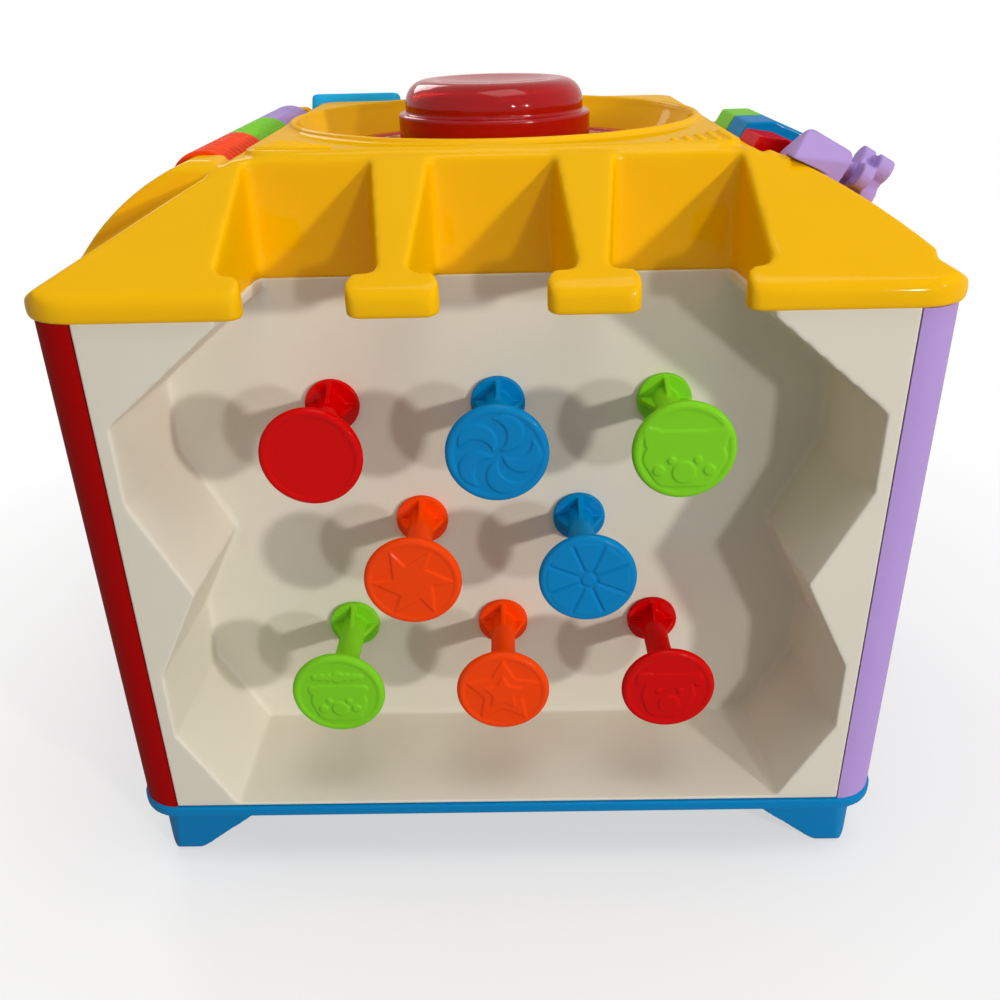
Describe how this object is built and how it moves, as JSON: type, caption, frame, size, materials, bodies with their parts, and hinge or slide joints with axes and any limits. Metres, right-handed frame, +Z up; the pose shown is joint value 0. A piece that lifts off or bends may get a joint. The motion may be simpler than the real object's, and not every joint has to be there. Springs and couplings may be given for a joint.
{
  "type": "activity cube",
  "caption": "Cube-shaped toddler activity toy with a peg wall and ball lanes in front, a sloped roof with rollers, sprung keys and a turning knob, and a large push dome on top.",
  "frame": {"origin": "On the floor, under the middle of the cube", "axes": "X to the right seen from the peg wall, Y from the peg wall to the rear, Z up"},
  "size_m": [0.3076, 0.2956, 0.2966],
  "materials": {
    "yellow_plastic": "smooth gloss moulding",
    "cream_plastic": "smooth gloss moulding",
    "red_plastic": "smooth gloss moulding",
    "blue_plastic": "smooth gloss moulding",
    "green_plastic": "smooth gloss moulding",
    "orange_plastic": "smooth gloss moulding",
    "lilac_plastic": "smooth gloss moulding",
    "clear_red_plastic": "tinted see-through gloss moulding",
    "dark_plastic": "fine matt moulding",
    "board_plastic": "lacquered board",
    "lamp_plastic": "clear lamp body",
    "soft_rubber": "soft matt rubber",
    "steel": "plated steel",
    "cell_metal": "plain unprinted jacket"
  },
  "bodies": {
    "cube": {"base_tray": "blue_plastic", "corner_feet": "blue_plastic", "base_screws": "steel", "front_panel": "cream_plastic", "left_panel": "red_plastic", "right_panel": "lilac_plastic", "rear_panel": "cream_plastic", "top_housing": "yellow_plastic", "peg_red_top": "red_plastic", "peg_blue_top": "blue_plastic", "peg_green_top": "green_plastic", "peg_orange_mid": "orange_plastic", "peg_blue_mid": "blue_plastic", "peg_green_low": "green_plastic", "peg_orange_low": "orange_plastic", "peg_red_low": "red_plastic", "peg_screws": "steel", "well_disc": "red_plastic", "dome_spring": "steel", "light_board": "board_plastic", "board_screws": "steel", "push_switch": "dark_plastic", "lamps": "lamp_plastic", "roller_axle": "steel", "key_pin": "steel", "key_pads": "soft_rubber", "knob_block": "lilac_plastic", "rear_key_pad": "soft_rubber", "battery_box": "dark_plastic", "battery_cells": "cell_metal", "battery_contacts": "steel", "battery_door": "blue_plastic", "door_screw": "steel", "speaker": "dark_plastic", "speaker_clamps": "steel"},
    "dome_button_body": {"dome_button": "clear_red_plastic"},
    "roller_orange_body": {"roller_orange": "orange_plastic"},
    "roller_green_body": {"roller_green": "green_plastic"},
    "roller_lilac_body": {"roller_lilac": "lilac_plastic"},
    "key_red_body": {"key_red": "red_plastic"},
    "key_blue_body": {"key_blue": "blue_plastic"},
    "key_green_body": {"key_green": "green_plastic"},
    "turning_knob_body": {"turning_knob": "lilac_plastic"},
    "rear_key_body": {"rear_key": "blue_plastic"}
  },
  "joints": [
    {"name": "dome_press", "type": "slide", "parent": "cube", "child": "dome_button_body", "axis": [0, 0, -1], "range_m": [0, 0.004], "stiffness_N_per_m": 600, "springref_m": -0.002, "deforming": ["dome_spring"]},
    {"name": "roller_orange_spin", "type": "hinge", "parent": "cube", "child": "roller_orange_body", "pos_m": [-0.10461, -0.0512, 0.26717], "axis": [0, 1, 0], "continuous": true},
    {"name": "roller_green_spin", "type": "hinge", "parent": "cube", "child": "roller_green_body", "pos_m": [-0.10461, 0.0036, 0.26717], "axis": [0, 1, 0], "continuous": true},
    {"name": "roller_lilac_spin", "type": "hinge", "parent": "cube", "child": "roller_lilac_body", "pos_m": [-0.10461, 0.0584, 0.26717], "axis": [0, 1, 0], "continuous": true},
    {"name": "key_red_press", "type": "hinge", "parent": "cube", "child": "key_red_body", "pos_m": [0.09629, -0.071, 0.27278], "axis": [0, 1, 0], "range_deg": [0, 5], "stiffness_Nm_per_rad": 0.15, "springref_deg": -4.58},
    {"name": "key_blue_press", "type": "hinge", "parent": "cube", "child": "key_blue_body", "pos_m": [0.09629, -0.046, 0.27278], "axis": [0, 1, 0], "range_deg": [0, 5], "stiffness_Nm_per_rad": 0.15, "springref_deg": -4.58},
    {"name": "key_green_press", "type": "hinge", "parent": "cube", "child": "key_green_body", "pos_m": [0.09629, -0.021, 0.27278], "axis": [0, 1, 0], "range_deg": [0, 5], "stiffness_Nm_per_rad": 0.15, "springref_deg": -4.58},
    {"name": "knob_turn", "type": "hinge", "parent": "cube", "child": "turning_knob_body", "pos_m": [0.12875, -0.0934, 0.26825], "axis": [0.871, 0, -0.4912], "continuous": true},
    {"name": "rear_key_press", "type": "slide", "parent": "cube", "child": "rear_key_body", "axis": [0, -0.5193, -0.8546], "range_m": [0, 0.0025], "stiffness_N_per_m": 500, "springref_m": -0.002}
  ]
}
